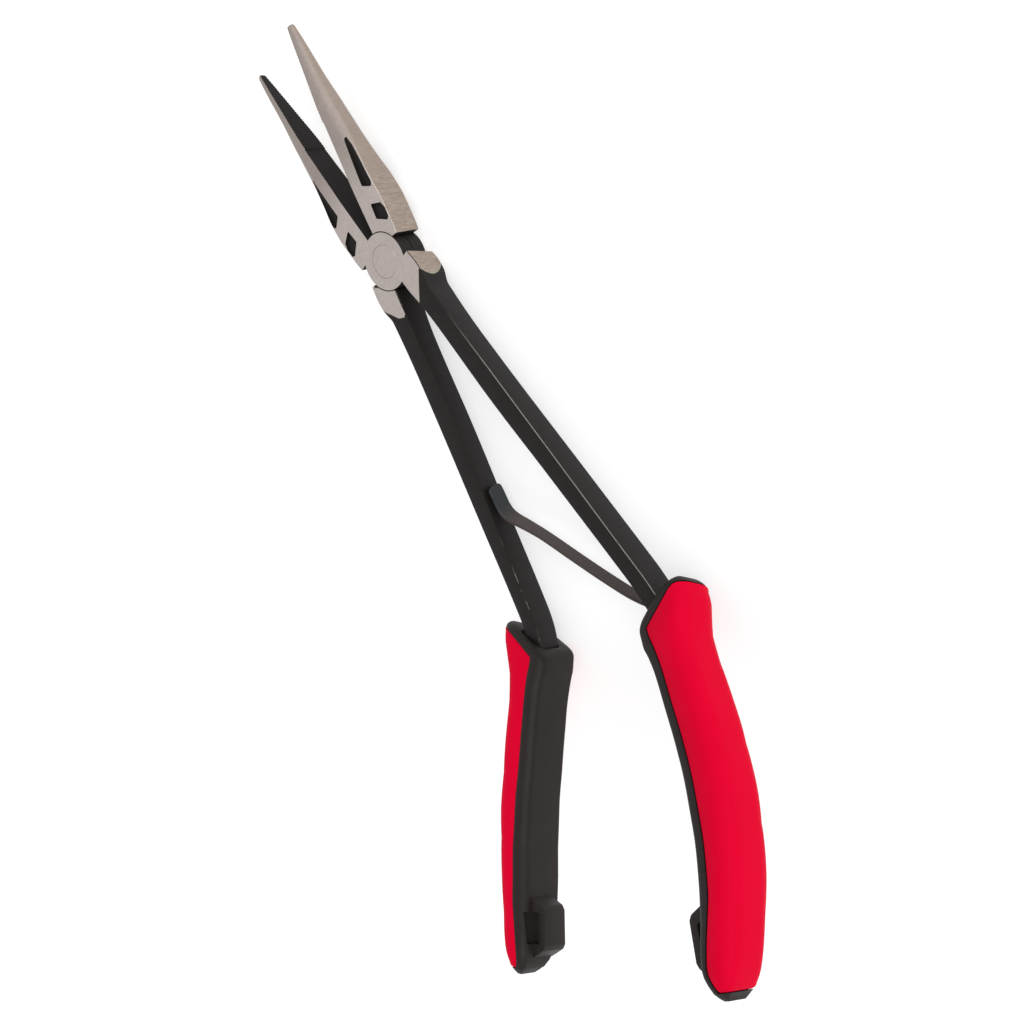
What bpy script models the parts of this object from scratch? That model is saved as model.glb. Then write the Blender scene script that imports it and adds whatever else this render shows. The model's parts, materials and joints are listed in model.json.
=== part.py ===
"""Long-reach needle-nose pliers with offset, spring-opened handles.

Two forged halves cross at a lap joint and turn on one rivet. Each half is a jaw, a half-thickness
disk and a long bar whose end bends forward inside a two-part grip: a black core with a tether loop
and a red cover. A leaf spring, riveted to the right-hand bar, pushes the left-hand bar open.

Frame: +Y runs to the jaw tips, +Z is the pivot's axis and the front, +X is to the right.
Each half is drawn closed, in a plan of its own whose jaw lies at +x and whose handle lies at -x
of the pivot, and is then turned open about the pivot. Lengths are in millimetres times MM.
"""

import math

import bmesh
import bpy
from mathutils import Matrix, Vector

MM = 0.001
GAP = 0.3  # clearance between pieces that touch

# Where the pivot stands in the part's frame, and how far each half is turned open
PIVOT = (-0.1, 63.8, 7.1)
OPEN_HALF_ANGLE = math.radians(7.5)

# Head
DISK_RADIUS = 8.1
JOINT_HALF_THICKNESS = 4.65
RIVET_RADIUS = 4.7
RIVET_RECESS = 0.05  # how far the rivet's faces lie under the joint's
CUTTER_MARGIN = 1.0  # how far cutters reach beyond what they cut
JAW_FACE_X = 0.15  # each jaw's gripping face stands this far off the closing plane
# Jaw stations: y, half thickness, outer x, half height of the outer side, x where the face ends
JAW_STATIONS = [
    (70.0, 0.90, 1.8, 0.45, 1.1),
    (69.3, 1.05, 2.1, 0.55, 1.2),
    (54.0, 2.80, 4.1, 1.70, 2.1),
    (45.0, 3.74, 5.6, 2.30, 3.1),
    (36.0, 4.10, 6.9, 2.90, 4.6),
    (28.0, 4.40, 7.8, 3.90, 6.9),
    (20.0, 4.65, 8.8, 4.45, 8.6),
    (14.4, 4.65, 9.45, 4.55, 9.35),
    (5.4, 4.65, 9.35, 4.55, 9.25),
    (4.5, 4.65, 9.1, 4.55, 9.0),
]
# Recessed pockets on the jaw's front and back, as outlines in plan
POCKETS = [
    [(4.9, 35.0), (6.1, 34.2), (8.45, 20.3), (7.9, 18.9), (4.45, 20.7)],
    [(4.6, 15.3), (4.3, 11.0), (8.1, 8.9), (9.0, 9.5), (9.1, 12.0), (8.4, 13.9)],
]
POCKET_FLOOR_Z = 3.5

# Handle bar stations: y, z, tilt forward in degrees, inner x, outer x, half depth
BAR_STATIONS = [
    (-4.7, 0.0, 11, -1.0, -9.2, 4.74),
    (-8.0, 0.0, 0, -0.9, -9.5, 4.65),
    (-11.5, 0.0, 0, -1.0, -9.1, 4.65),
    (-16.0, 0.2, 0, -1.3, -7.7, 4.20),
    (-26.0, 0.5, 0, -1.7, -7.7, 3.85),
    (-45.0, 0.8, 0, -1.8, -8.2, 3.70),
    (-80.0, 1.1, 1, -3.5, -9.3, 4.00),
    (-115.0, 1.5, 4, -5.2, -10.5, 4.25),
    (-121.0, 2.2, 11, -5.5, -10.9, 4.25),
    (-126.0, 3.6, 22, -6.1, -11.4, 4.10),
    (-130.0, 5.9, 32, -7.0, -12.1, 3.90),
    (-134.0, 8.8, 37, -8.2, -13.0, 3.70),
    (-142.0, 14.8, 37, -9.8, -14.2, 3.50),
    (-158.0, 26.9, 37, -12.4, -16.4, 3.20),
    (-168.0, 34.4, 37, -12.9, -16.5, 2.70),
]
BAR_CHAMFER = 0.7

# Grip: its axis starts at GRIP_START (y and z) and runs down and forward at GRIP_TILT
GRIP_START = (-121.5, -0.6)
GRIP_TILT = math.radians(37)
# Grip stations: distance along the axis at the inner front, how strongly the section slants,
# inner x, outer x, half depth, how far its middle lies in front of the axis
GRIP_STATIONS = [
    (9.7, 1.0, -4.3, -15.5, 6.9, 0.0),
    (10.4, 1.0, -3.3, -17.8, 7.6, 0.0),
    (11.5, 1.0, -2.9, -19.8, 7.9, 0.0),
    (13.8, 1.0, -3.1, -21.5, 8.0, 0.0),
    (16.9, 0.95, -3.5, -21.7, 8.1, 0.0),
    (18.9, 0.7, -4.2, -20.4, 8.1, 0.0),
    (21.4, 0.45, -4.8, -19.2, 8.0, 0.0),
    (25.0, 0.2, -5.5, -19.2, 7.9, 0.0),
    (33.0, 0.0, -6.4, -20.0, 7.8, 0.0),
    (43.0, 0.0, -7.4, -20.9, 7.7, -0.1),
    (54.0, 0.0, -8.2, -21.2, 7.7, 0.2),
    (64.0, 0.0, -8.2, -20.4, 7.7, 0.6),
    (74.0, 0.0, -7.4, -18.9, 7.6, 1.3),
    (82.0, 0.0, -6.4, -17.2, 7.3, 2.4),
    (88.0, 0.0, -5.6, -15.9, 6.9, 3.4),
    (92.0, 0.0, -5.3, -14.5, 6.5, 4.0),
    (94.5, 0.0, -5.8, -13.1, 5.7, 4.3),
    (96.0, 0.0, -6.6, -11.8, 4.8, 4.6),
    (97.1, 0.0, -7.8, -10.7, 3.6, 4.8),
    (97.7, 0.0, -8.8, -10.0, 2.6, 4.9),
]
SLANT_FROM_X, SLANT_WIDTH = -19.5, 14.4  # outer end and width of the slanted part
SLANT = {"right": 0.68, "left": 0.94}  # distance along per mm of x
SLANT_TWIST, SLANT_DEPTH = 0.015, 7.5  # growth of the slant per mm of depth, from this depth
GRIP_SHIFT = {"right": 0.5, "left": -1.8}  # along the axis
COVER_FIRST, COVER_LAST = 3, 17  # stations where the red cover starts and ends
COVER_THICKNESS = 1.6
# How far the cover stays outside the grip's inner face, along most of the grip and at its end
COVER_INNER_EDGE, COVER_END_EDGE = 4.3, 2.6
COVER_NARROWS = (78.0, 92.0)  # distances along the axis between which it comes closer
INNER_FRONT_RADIUS, INNER_BACK_RADIUS, OUTER_FRONT_RADIUS = 3.2, 1.4, 4.6
# Radius of the outer back corner against distance along the grip
OUTER_BACK_RADII = [(17.0, 7.3), (28.0, 5.0), (86.0, 5.0), (94.0, 6.2)]
SMALLEST_RADIUS = 0.1
ARC_STEPS = 4

# Mouth of the grip, round the bar
MOUTH_CLEARANCE = 1.1
MOUTH_FIRST, MOUTH_LAST = 7, 11  # bar stations that the recess spans
# Notch in the right-hand core's rim for the leaf spring's root, in plan
SPRING_NOTCH = [(-2.0, -120.0), (-7.4, -120.0), (-7.4, -131.6), (-4.4, -131.6), (-2.0, -129.4)]

# Tether loop on the grip's inner face: outline as (distance along the axis, x), width and centre
TETHER_OUTLINE = [(77.6, -8.6), (80.4, -2.3), (81.6, -1.4), (90.2, -1.1), (91.4, -1.8), (94.2, -6.8)]
TETHER_SLOT = [(82.2, -8.2), (82.2, -3.6), (90.0, -3.4), (90.0, -7.4)]
TETHER_HALF_WIDTH = 4.0
TETHER_CENTRE = 2.2
TETHER_OPEN_FRONT = 2.5  # how far the slot's cutter reaches beyond the loop's front

# Leaf spring: its path in the front half's plan, from the root on the bar to the hooked end
LEAF_PATH = [
    (-5.55, -130.6),
    (-5.40, -127.6),
    (-4.00, -125.4),
    (-1.20, -122.4),
    (1.80, -118.2),
    (6.20, -110.2),
    (10.60, -101.5),
    (15.30, -91.9),
    (19.00, -85.2),
    (21.20, -81.6),
    (22.30, -78.9),
    (22.20, -76.0),
    (21.30, -72.6),
    (20.60, -69.4),
]
LEAF_THICKNESS = 0.9
LEAF_HALF_WIDTH = 3.0
LEAF_CENTRE_Z = 0.4
SPRING_RIVET = (-128.9, 2.0)  # y and z
SPRING_RIVET_RADIUS = 1.1
SPRING_RIVET_ENDS = (-10.0, -4.9)  # x of its two faces
LEAF_HOLE_ENDS, BAR_HOLE_ENDS = (-8.0, -3.0), (-10.4, -4.0)  # x between which the holes are cut
LEAF_NOTCH_ROOM = 0.5  # room in the grip's rim on each side of the leaf


# --- Materials -------------------------------------------------------------------------------


def make_material(name, colour, roughness, metallic):
    material = bpy.data.materials.new(name)
    material.use_nodes = True
    shader = material.node_tree.nodes["Principled BSDF"]
    shader.inputs["Base Color"].default_value = (*colour, 1.0)
    shader.inputs["Roughness"].default_value = roughness
    shader.inputs["Metallic"].default_value = metallic
    return material


# --- Mesh helpers ----------------------------------------------------------------------------


def link(obj, collection, parent=None, material=None):
    collection.objects.link(obj)
    if parent is not None:
        obj.parent = parent
    if material is not None:
        obj.data.materials.append(material)
    return obj


def object_from_bmesh(name, bm, mirror):
    """Turn a mesh drawn in millimetres into an object in metres, mirrored in x for the front half."""
    scale = Matrix.Diagonal((-MM if mirror else MM, MM, MM, 1.0))
    bmesh.ops.transform(bm, matrix=scale, verts=bm.verts)
    bmesh.ops.recalc_face_normals(bm, faces=bm.faces)
    mesh = bpy.data.meshes.new(name)
    bm.to_mesh(mesh)
    bm.free()
    return bpy.data.objects.new(name, mesh)


def loft(name, rings, mirror=False):
    """A closed body through rings of points that all have the same count."""
    bm = bmesh.new()
    loops = [[bm.verts.new(point) for point in ring] for ring in rings]
    count = len(loops[0])
    for first, second in zip(loops, loops[1:]):
        for i in range(count):
            j = (i + 1) % count
            bm.faces.new((first[i], first[j], second[j], second[i]))
    bm.faces.new(loops[0])
    bm.faces.new(loops[-1])
    bmesh.ops.remove_doubles(bm, verts=bm.verts, dist=0.001)
    return object_from_bmesh(name, bm, mirror)


def prism(name, outline, low, high, mirror=False):
    """A flat outline in plan, raised from low to high along z."""
    return loft(name, [[(x, y, z) for x, y in outline] for z in (low, high)], mirror)


def cylinder(name, radius, low, high, mirror=False, segments=64):
    bm = bmesh.new()
    bmesh.ops.create_cone(
        bm, cap_ends=True, segments=segments, radius1=radius, radius2=radius, depth=high - low
    )
    bmesh.ops.translate(bm, vec=(0.0, 0.0, (low + high) / 2), verts=bm.verts)
    return object_from_bmesh(name, bm, mirror)


def combine(obj, other, operation, collection):
    """Add a Boolean with a hidden helper object."""
    link(other, collection, obj.parent)
    other.hide_render = True
    other.display_type = "WIRE"
    modifier = obj.modifiers.new(other.name, "BOOLEAN")
    modifier.operation = operation
    modifier.object = other
    modifier.solver = "EXACT"


# --- Forged halves ---------------------------------------------------------------------------


def jaw_ring(station):
    """Across the jaw: flat faces, a side that slopes in from them, and a flat outer side."""
    y, thickness, outer, side, land = station
    section = [
        (JAW_FACE_X, -thickness),
        (land, -thickness),
        (outer, -side),
        (outer, side),
        (land, thickness),
        (JAW_FACE_X, thickness),
    ]
    return [(x, y, z) for x, z in section]


def bar_ring(station, grow=0.0):
    """A chamfered rectangle across the bar, tilted with it."""
    y, z, tilt_degrees, inner, outer, half_depth = station
    tilt = math.radians(tilt_degrees)
    high, low = half_depth + grow, -half_depth - grow
    inner, outer = inner + grow, outer - grow
    c = BAR_CHAMFER
    section = [
        (inner, low + c),
        (inner, high - c),
        (inner - c, high),
        (outer + c, high),
        (outer, high - c),
        (outer, low + c),
        (outer + c, low),
        (inner - c, low),
    ]
    return [(x, y + d * math.sin(tilt), z + d * math.cos(tilt)) for x, d in section]


def forged_half(name, mirror, lap_side, parts, helpers, frame, material):
    """lap_side is +1 where the half's disk is the front one, -1 where it is the back one."""
    half = link(
        loft(name, [bar_ring(station) for station in BAR_STATIONS], mirror), parts, frame, material
    )
    half.data.shade_flat()
    jaw = loft(f"{name}_jaw", [jaw_ring(station) for station in JAW_STATIONS], mirror)
    combine(half, jaw, "UNION", helpers)
    inner_z, outer_z = lap_side * GAP / 2, lap_side * JOINT_HALF_THICKNESS
    disk = cylinder(f"{name}_disk", DISK_RADIUS, *sorted((inner_z, outer_z)), mirror)
    combine(half, disk, "UNION", helpers)
    beyond = -lap_side * (JOINT_HALF_THICKNESS + CUTTER_MARGIN)
    lap = cylinder(f"{name}_lap", DISK_RADIUS + GAP, *sorted((inner_z, beyond)), mirror)
    combine(half, lap, "DIFFERENCE", helpers)
    hole_reach = JOINT_HALF_THICKNESS + CUTTER_MARGIN
    hole = cylinder(f"{name}_hole", RIVET_RADIUS + GAP, -hole_reach, hole_reach, mirror)
    combine(half, hole, "DIFFERENCE", helpers)
    for number, outline in enumerate(POCKETS, start=1):
        for side, label in ((1, "front"), (-1, "back")):
            levels = sorted((side * POCKET_FLOOR_Z, side * hole_reach))
            cutter = prism(f"{name}_pocket_{label}_{number}", outline, *levels, mirror)
            combine(half, cutter, "DIFFERENCE", helpers)
    return half


# --- Grips -----------------------------------------------------------------------------------


def grip_point(along, x, depth):
    """A point of the grip, from its distance along the axis, its x and its height over the axis."""
    sine, cosine = math.sin(GRIP_TILT), math.cos(GRIP_TILT)
    y = GRIP_START[0] - along * cosine + depth * sine
    z = GRIP_START[1] + along * sine + depth * cosine
    return (x, y, z)


def arc(centre_x, centre_d, radius, start, end):
    """Points on a quarter circle; the angles are in degrees from the inner side to the front."""
    points = []
    for step in range(ARC_STEPS + 1):
        angle = math.radians(start + (end - start) * step / ARC_STEPS)
        points.append((centre_x + radius * math.cos(angle), centre_d + radius * math.sin(angle)))
    return points


def limited(radius, station):
    """A corner's radius, kept smaller than half the section."""
    half_width = (station[2] - station[3]) / 2
    return min(radius, half_width - 0.6, station[4] - 0.6)


def outer_back_radius(along):
    """Radius of the outer back corner at this distance along the grip."""
    for (start, first), (end, last) in zip(OUTER_BACK_RADII, OUTER_BACK_RADII[1:]):
        if along < end:
            share = max(0.0, (along - start) / (end - start))
            return first + (last - first) * share
    return OUTER_BACK_RADII[-1][1]


def outer_arcs(station, inset):
    """The outer side of a grip section, from the front edge round to the back edge."""
    outer, depth = station[3], station[4]
    points = []
    corners = ((1, OUTER_FRONT_RADIUS, 90), (-1, outer_back_radius(station[0]), 180))
    for sign, radius, start in corners:
        radius = limited(radius, station)
        small = max(radius - inset, SMALLEST_RADIUS)
        level = sign * (depth - inset - small)
        points += arc(outer + radius, level, small, start, start + 90)
    return points


def edge_distance(station):
    """How far the cover stays outside the inner face at this station."""
    start, end = COVER_NARROWS
    share = min(max((station[0] - start) / (end - start), 0.0), 1.0)
    return COVER_INNER_EDGE + (COVER_END_EDGE - COVER_INNER_EDGE) * share


def inner_arcs(station):
    """The inner side of a grip section, from the back edge round to the front edge."""
    inner, depth = station[2], station[4]
    back = limited(INNER_BACK_RADIUS, station)
    front = limited(min(INNER_FRONT_RADIUS, edge_distance(station) - 0.5), station)
    points = arc(inner - back, back - depth, back, 270, 360)
    return points + arc(inner - front, depth - front, front, 0, 90)


def place_section(side, station, section):
    along, slant, forward = station[0], station[1], station[5]
    points = []
    for x, depth in section:
        inward = max(0.0, x - SLANT_FROM_X)
        slide = SLANT[side] * (inward - SLANT_WIDTH) + SLANT_TWIST * (depth - SLANT_DEPTH) * inward
        points.append(grip_point(along + slant * slide, x, depth + forward))
    return points


def cover_edge(station):
    """Where the cover ends on the grip's front and back."""
    return max(station[2] - edge_distance(station), (station[2] + station[3]) / 2)


def core_ring(side, station, covered):
    """The core's section; where the cover sits, its outer side steps in to make room."""
    depth = station[4]
    inset = COVER_THICKNESS + GAP if covered else 0.0
    edge_x = cover_edge(station) + GAP
    section = inner_arcs(station)
    section += [(edge_x, depth), (edge_x, depth - inset)]
    section += outer_arcs(station, inset)
    section += [(edge_x, inset - depth), (edge_x, -depth)]
    return place_section(side, station, section)


def cover_ring(side, station):
    """A C-shaped section that wraps the core's front, outer side and back."""
    depth, edge_x = station[4], cover_edge(station)
    outside = [(edge_x, depth)] + outer_arcs(station, 0.0) + [(edge_x, -depth)]
    level = depth - COVER_THICKNESS
    inside = [(edge_x, level)] + outer_arcs(station, COVER_THICKNESS) + [(edge_x, -level)]
    return place_section(side, station, outside + inside[::-1])


def shifted(station, distance):
    """The same section, moved along the grip."""
    return (station[0] + distance, *station[1:])


def core_rings(side, stations):
    rings = []
    for number, station in enumerate(stations):
        if number == COVER_FIRST:
            rings.append(core_ring(side, shifted(station, -GAP), False))
            rings.append(core_ring(side, shifted(station, -GAP), True))
        elif COVER_FIRST < number < COVER_LAST:
            rings.append(core_ring(side, station, True))
        elif number == COVER_LAST:
            rings.append(core_ring(side, shifted(station, GAP), True))
            rings.append(core_ring(side, shifted(station, GAP), False))
        else:
            rings.append(core_ring(side, station, False))
    return rings


def mouth_rings():
    """The recess round the bar at the grip's mouth, as a cutter."""
    rings = []
    for y, z, tilt, inner, outer, half_depth in BAR_STATIONS[MOUTH_FIRST : MOUTH_LAST + 1]:
        wide = (inner + MOUTH_CLEARANCE, outer - 2 * MOUTH_CLEARANCE, half_depth + MOUTH_CLEARANCE)
        rings.append(bar_ring((y, z, tilt, *wide)))
    return rings


def tang_rings():
    """The room for the bar inside the core, a gap larger than the bar all round."""
    y, z, *rest = BAR_STATIONS[-1]
    end = (y - 2 * GAP * math.cos(GRIP_TILT), z + 2 * GAP * math.sin(GRIP_TILT), *rest)
    return [bar_ring(station, GAP) for station in [*BAR_STATIONS[MOUTH_FIRST:], end]]


def grip(side, mirror, parts, helpers, frame, core_material, cover_material):
    shift = GRIP_SHIFT[side]
    stations = [shifted(station, shift) for station in GRIP_STATIONS]
    core = link(loft(f"{side}_grip_core", core_rings(side, stations), mirror), parts, frame, core_material)
    low, high = TETHER_CENTRE - TETHER_HALF_WIDTH, TETHER_CENTRE + TETHER_HALF_WIDTH
    tether = [[grip_point(a + shift, x, d) for a, x in TETHER_OUTLINE] for d in (low, high)]
    combine(core, loft(f"{side}_tether", tether, mirror), "UNION", helpers)
    levels = (low - CUTTER_MARGIN, high + TETHER_OPEN_FRONT)
    slot = [[grip_point(a + shift, x, d) for a, x in TETHER_SLOT] for d in levels]
    combine(core, loft(f"{side}_tether_slot", slot, mirror), "DIFFERENCE", helpers)
    combine(core, loft(f"{side}_tang_space", tang_rings(), mirror), "DIFFERENCE", helpers)
    combine(core, loft(f"{side}_mouth", mouth_rings(), mirror), "DIFFERENCE", helpers)
    cover_stations = stations[COVER_FIRST : COVER_LAST + 1]
    cover_rings = [cover_ring(side, station) for station in cover_stations]
    cover = link(loft(f"{side}_grip_cover", cover_rings, mirror), parts, frame, cover_material)
    for piece in (core, cover):
        piece.data.shade_smooth()
        piece.data.set_sharp_from_angle(angle=math.radians(35))
    return core


# --- Spring and rivets -----------------------------------------------------------------------


def leaf_rings():
    """Rectangles across the leaf's path."""
    rings = []
    count = len(LEAF_PATH)
    for i, (x, y) in enumerate(LEAF_PATH):
        before = Vector(LEAF_PATH[max(i - 1, 0)])
        after = Vector(LEAF_PATH[min(i + 1, count - 1)])
        along = (after - before).normalized()
        across = Vector((-along.y, along.x)) * LEAF_THICKNESS / 2
        low, high = LEAF_CENTRE_Z - LEAF_HALF_WIDTH, LEAF_CENTRE_Z + LEAF_HALF_WIDTH
        rings.append(
            [
                (x - across.x, y - across.y, low),
                (x + across.x, y + across.y, low),
                (x + across.x, y + across.y, high),
                (x - across.x, y - across.y, high),
            ]
        )
    return rings


def cross_cylinder(name, radius, low_x, high_x, y, z, mirror):
    """A cylinder that lies along x."""
    bm = bmesh.new()
    bmesh.ops.create_cone(
        bm, cap_ends=True, segments=24, radius1=radius, radius2=radius, depth=high_x - low_x
    )
    bmesh.ops.rotate(bm, matrix=Matrix.Rotation(math.pi / 2, 3, "Y"), verts=bm.verts)
    bmesh.ops.translate(bm, vec=((low_x + high_x) / 2, y, z), verts=bm.verts)
    return object_from_bmesh(name, bm, mirror)


def new_frame(name, collection, turn):
    """An empty on the pivot's axis that turns one half open."""
    empty = bpy.data.objects.new(name, None)
    collection.objects.link(empty)
    empty.location = Vector(PIVOT) * MM
    empty.rotation_euler = (0.0, 0.0, turn)
    return empty


def build():
    for obj in list(bpy.data.objects):
        bpy.data.objects.remove(obj, do_unlink=True)
    parts = bpy.data.collections.new("long_reach_pliers")
    helpers = bpy.data.collections.new("cutters")
    for collection in (parts, helpers):
        bpy.context.scene.collection.children.link(collection)

    steel = make_material("forged_steel", (0.30, 0.28, 0.27), 0.38, 0.9)
    bright = make_material("rivet_steel", (0.62, 0.58, 0.55), 0.3, 1.0)
    spring = make_material("spring_steel", (0.16, 0.14, 0.13), 0.45, 0.8)
    black = make_material("black_core", (0.022, 0.020, 0.020), 0.55, 0.0)
    red = make_material("red_cover", (0.80, 0.01, 0.03), 0.5, 0.0)

    front_frame = new_frame("front_half_frame", parts, OPEN_HALF_ANGLE)
    rear_frame = new_frame("rear_half_frame", parts, -OPEN_HALF_ANGLE)

    front = forged_half("front_half", True, 1, parts, helpers, front_frame, steel)
    forged_half("rear_half", False, -1, parts, helpers, rear_frame, steel)
    right_core = grip("right", True, parts, helpers, front_frame, black, red)
    grip("left", False, parts, helpers, rear_frame, black, red)
    reach = LEAF_HALF_WIDTH + LEAF_NOTCH_ROOM
    levels = (LEAF_CENTRE_Z - reach, LEAF_CENTRE_Z + reach)
    combine(right_core, prism("spring_notch", SPRING_NOTCH, *levels, True), "DIFFERENCE", helpers)

    rivet_half = JOINT_HALF_THICKNESS - RIVET_RECESS
    rivet = cylinder("pivot_rivet", RIVET_RADIUS, -rivet_half, rivet_half)
    link(rivet, parts, front_frame, bright)

    leaf = link(loft("leaf_spring", leaf_rings(), True), parts, front_frame, spring)
    rivet_y, rivet_z = SPRING_RIVET
    leaf_hole = SPRING_RIVET_RADIUS + GAP
    for obj, ends in ((leaf, LEAF_HOLE_ENDS), (front, BAR_HOLE_ENDS)):
        cutter = cross_cylinder(f"{obj.name}_rivet_hole", leaf_hole, *ends, rivet_y, rivet_z, True)
        combine(obj, cutter, "DIFFERENCE", helpers)
    small = cross_cylinder(
        "spring_rivet", SPRING_RIVET_RADIUS, *SPRING_RIVET_ENDS, rivet_y, rivet_z, True
    )
    link(small, parts, front_frame, bright)


build()
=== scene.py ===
"""Looks of the long-reach needle-nose pliers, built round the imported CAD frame."""

import json
import math

import bmesh
import bpy
import numpy as np
from mathutils import Matrix, Vector


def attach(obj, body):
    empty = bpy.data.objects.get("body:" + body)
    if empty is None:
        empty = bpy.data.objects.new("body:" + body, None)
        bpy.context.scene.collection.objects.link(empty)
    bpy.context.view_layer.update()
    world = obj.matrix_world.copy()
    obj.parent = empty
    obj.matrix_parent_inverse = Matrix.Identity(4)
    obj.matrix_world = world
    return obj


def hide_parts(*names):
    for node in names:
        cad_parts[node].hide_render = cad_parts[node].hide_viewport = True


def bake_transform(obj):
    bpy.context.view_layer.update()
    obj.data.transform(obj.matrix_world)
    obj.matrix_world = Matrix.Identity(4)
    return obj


MM = 0.001
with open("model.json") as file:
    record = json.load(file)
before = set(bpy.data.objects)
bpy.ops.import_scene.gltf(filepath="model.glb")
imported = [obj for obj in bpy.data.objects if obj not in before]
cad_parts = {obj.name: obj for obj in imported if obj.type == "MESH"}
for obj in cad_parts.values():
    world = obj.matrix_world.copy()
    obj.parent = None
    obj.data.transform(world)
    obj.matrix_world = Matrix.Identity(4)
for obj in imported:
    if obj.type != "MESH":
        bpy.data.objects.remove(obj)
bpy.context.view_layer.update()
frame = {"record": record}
PIVOT = Vector(
    next(j for j in frame["record"]["behaviour"]["joints"] if j["name"] == "jaw_pivot")["pos_m"]
)
OPEN_HALF_ANGLE = math.radians(7.5)

# --- Shape, in millimetres, in the plan of one closed half: jaw at +x, bar and grip at -x -----

JAW_STATIONS = [  # y, half thickness, outer x, half height of the outer side, land x, roundness
    (70.0, 0.85, 1.75, 0.50, 1.1, 0.5),
    (69.7, 0.98, 1.95, 0.60, 1.2, 0.7),
    (68.6, 1.15, 2.20, 0.70, 1.3, 1.0),
    (54.0, 2.80, 4.1, 1.70, 2.1, 1.0),
    (45.0, 3.74, 5.6, 2.30, 3.1, 0.85),
    (36.0, 4.10, 6.9, 2.90, 4.6, 0.6),
    (28.0, 4.40, 7.8, 3.90, 6.9, 0.3),
    (20.0, 4.65, 8.8, 4.50, 8.6, 0.0),
    (14.4, 4.65, 9.45, 4.58, 9.37, 0.0),
    (5.4, 4.65, 9.35, 4.58, 9.27, 0.0),
    (4.5, 4.65, 9.1, 4.58, 9.02, 0.0),
]
TEETH = (42.0, 69.2)  # y where the teeth start and end
TOOTH_PITCH, TOOTH_DEPTH = 0.9, 0.16
# x of the gripping face at the tip, at the teeth's crests and behind the teeth
TIP_FACE_X, CREST_X, REAR_FACE_X = 0.25, 0.12, 0.45
ROUND_X_POWER, ROUND_Z_POWER = 0.9, 0.8  # of the rounded section, a slightly squared ellipse
POCKETS = [  # outlines in plan with each corner's radius
    [(4.95, 35.2, 0.5), (6.1, 34.2, 0.5), (8.55, 20.3, 0.7), (7.9, 18.9, 0.7), (4.45, 20.7, 0.4)],
    [
        (4.6, 15.3, 0.4),
        (4.3, 11.0, 0.4),
        (8.1, 8.9, 0.3),
        (9.05, 9.5, 0.25),
        (9.15, 12.0, 0.4),
        (8.4, 13.9, 0.5),
    ],
]
POCKET_FLOORS = (3.3, 3.7)
DISK_RADIUS, DISK_GAP = 8.1, 0.3
JOINT_HALF_THICKNESS = 4.65
RIVET_RADIUS, RIVET_SEAM = 4.7, 0.03
CUTTER_REACH = 6.0  # how far cutters of the head go in z
DISK_SEGMENTS, RIVET_SEGMENTS = 96, 64

BAR_STATIONS = [  # y, z, tilt forward in degrees, inner x, outer x, half depth
    (-4.7, 0.0, 11, -1.0, -9.2, 4.74),
    (-8.0, 0.0, 0, -0.9, -9.5, 4.65),
    (-11.5, 0.0, 0, -1.0, -9.1, 4.65),
    (-16.0, 0.2, 0, -1.3, -7.7, 4.20),
    (-26.0, 0.5, 0, -1.7, -7.7, 3.85),
    (-45.0, 0.8, 0, -1.8, -8.2, 3.70),
    (-80.0, 1.1, 1, -3.5, -9.3, 4.00),
    (-115.0, 1.5, 4, -5.2, -10.5, 4.25),
    (-121.0, 2.2, 11, -5.5, -10.9, 4.25),
    (-126.0, 3.6, 22, -6.1, -11.4, 4.10),
    (-130.0, 5.9, 32, -7.0, -12.1, 3.90),
    (-134.0, 8.8, 37, -8.2, -13.0, 3.70),
    (-142.0, 14.8, 37, -9.8, -14.2, 3.50),
    (-158.0, 26.9, 37, -12.4, -16.4, 3.20),
]
BAR_CHAMFER, FORGED_BEVEL = 0.18, 0.14
# Ground patches on the root of each half: outlines in plan, anticlockwise seen with x to the left
PATCHES = {
    "front_half": [
        (-10.2, -1.5),
        (0.6, -1.5),
        (-0.3, -7.7),
        (-0.9, -15.6),
        (-1.5, -16.1),
        (-8.4, -10.2),
        (-9.9, -7.5),
    ],
    "rear_half": [
        (-9.9, -4.2),
        (-7.1, -5.0),
        (-1.0, -8.6),
        (-1.3, -13.0),
        (-1.6, -15.6),
        (-2.5, -16.2),
        (-4.6, -15.6),
        (-8.4, -11.9),
        (-9.9, -10.4),
    ],
}

GRIP_START, GRIP_TILT = (-121.5, -0.6), math.radians(37)
GRIP_STATIONS = [  # along the axis, slant, inner x, outer x, half depth, forward offset
    (9.7, 1.0, -4.3, -15.5, 6.9, 0.0),
    (10.4, 1.0, -3.3, -17.8, 7.6, 0.0),
    (11.5, 1.0, -2.9, -19.8, 7.9, 0.0),
    (13.8, 1.0, -3.1, -21.5, 8.0, 0.0),
    (16.9, 0.95, -3.5, -21.7, 8.1, 0.0),
    (18.9, 0.7, -4.2, -20.4, 8.1, 0.0),
    (21.4, 0.45, -4.8, -19.2, 8.0, 0.0),
    (25.0, 0.2, -5.5, -19.2, 7.9, 0.0),
    (33.0, 0.0, -6.4, -20.0, 7.8, 0.0),
    (43.0, 0.0, -7.4, -20.9, 7.7, -0.1),
    (54.0, 0.0, -8.2, -21.2, 7.7, 0.2),
    (64.0, 0.0, -8.2, -20.4, 7.7, 0.6),
    (74.0, 0.0, -7.4, -18.9, 7.6, 1.3),
    (82.0, 0.0, -6.4, -17.2, 7.3, 2.4),
    (88.0, 0.0, -5.6, -15.9, 6.9, 3.4),
    (92.0, 0.0, -5.3, -14.5, 6.5, 4.0),
    (94.5, 0.0, -5.8, -13.1, 5.7, 4.3),
    (96.0, 0.0, -6.6, -11.8, 4.8, 4.6),
    (97.1, 0.0, -7.8, -10.7, 3.6, 4.8),
    (97.7, 0.0, -8.8, -10.0, 2.6, 4.9),
]
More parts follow.
